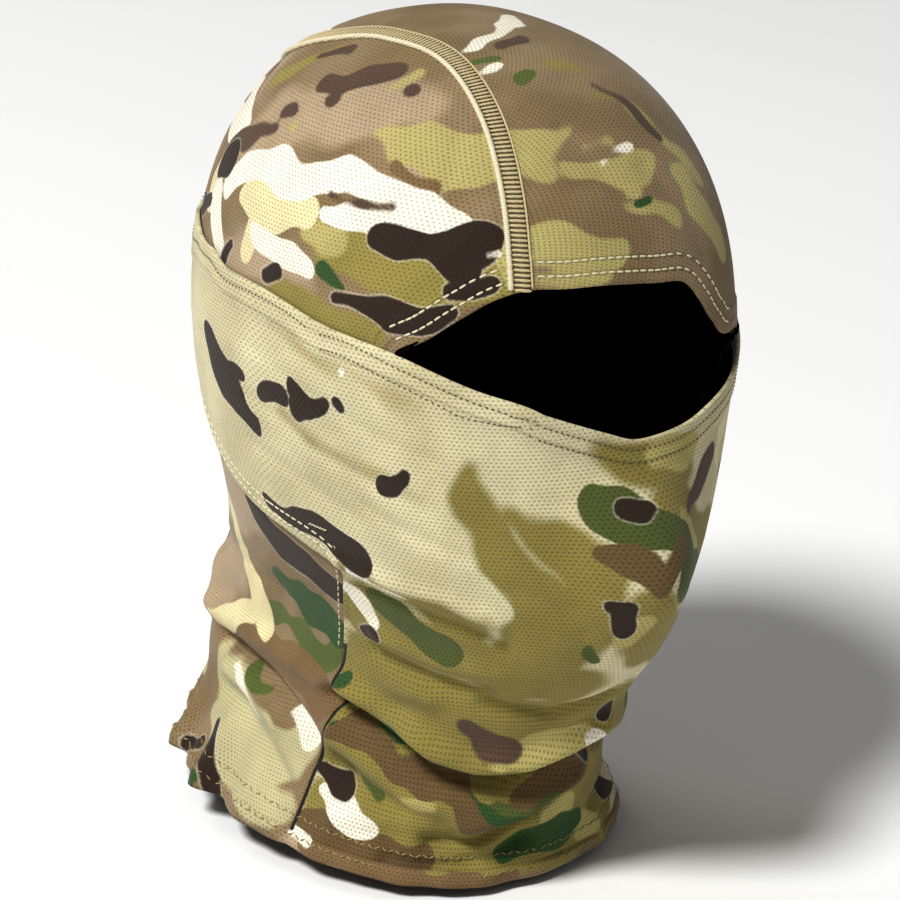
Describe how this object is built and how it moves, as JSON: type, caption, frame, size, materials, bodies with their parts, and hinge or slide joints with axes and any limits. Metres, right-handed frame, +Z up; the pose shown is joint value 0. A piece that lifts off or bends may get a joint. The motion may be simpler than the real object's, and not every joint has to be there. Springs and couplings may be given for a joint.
{
  "type": "camouflage face mask",
  "caption": "Close-fitting knitted hood with an eye opening, a face cover that pulls down and a flared neck.",
  "frame": {"origin": "centre of the widest level ring of the head inside the hood, on the face's midline", "axes": "+Z up towards the crown, the wearer looks along -Y, +X is the wearer's left"},
  "size_m": [0.1724, 0.239, 0.2928],
  "materials": {
    "hood_knit": "matt dimpled knit printed with brown, khaki, green and cream camouflage",
    "cover_knit": "matt dimpled knit, pale khaki with brown and green camouflage",
    "inner_fold": "dark unprinted back of the knit",
    "cream_thread": "fine cream sewing thread",
    "seam_thread": "khaki cover-stitch seam"
  },
  "bodies": {
    "hood": {"brow_panel_right": "hood_knit", "brow_panel_left": "hood_knit", "crown_panel_right": "hood_knit", "crown_panel_left": "hood_knit", "nape_panel_right": "hood_knit", "nape_panel_left": "hood_knit", "crown_seam": "seam_thread", "nape_seam": "seam_thread", "crown_seam_cord": "cream_thread", "brow_hem_right": "inner_fold", "brow_hem_left": "inner_fold", "brow_stitch_right_1": "cream_thread", "brow_stitch_right_2": "cream_thread", "brow_stitch_left_1": "cream_thread", "brow_stitch_left_2": "cream_thread", "wing_right": "cover_knit", "wing_left": "cover_knit", "wing_top_hem_right": "inner_fold", "wing_top_hem_left": "inner_fold", "wing_low_hem_right": "inner_fold", "wing_low_hem_left": "inner_fold", "wing_top_stitch_right": "cream_thread", "wing_top_stitch_left": "cream_thread", "wing_low_stitch_right": "cream_thread", "wing_low_stitch_left": "cream_thread", "wing_back_seam": "seam_thread", "neck_front_panel": "cover_knit", "side_seam_right": "seam_thread", "side_seam_left": "seam_thread", "side_tack_right": "cream_thread", "side_tack_left": "cream_thread", "bottom_hem": "inner_fold", "bottom_binding": "hood_knit", "bottom_stitch_1": "cream_thread", "bottom_stitch_2": "cream_thread"},
    "face_cover": {"face_panel": "cover_knit", "face_top_hem": "inner_fold", "face_top_stitch_1": "cream_thread", "face_top_stitch_2": "cream_thread"}
  },
  "joints": [
    {"name": "cover_pull_down", "type": "slide", "parent": "hood", "child": "face_cover", "axis": [0, -0.2425, -0.9701], "range_m": [0, 0.09]}
  ]
}
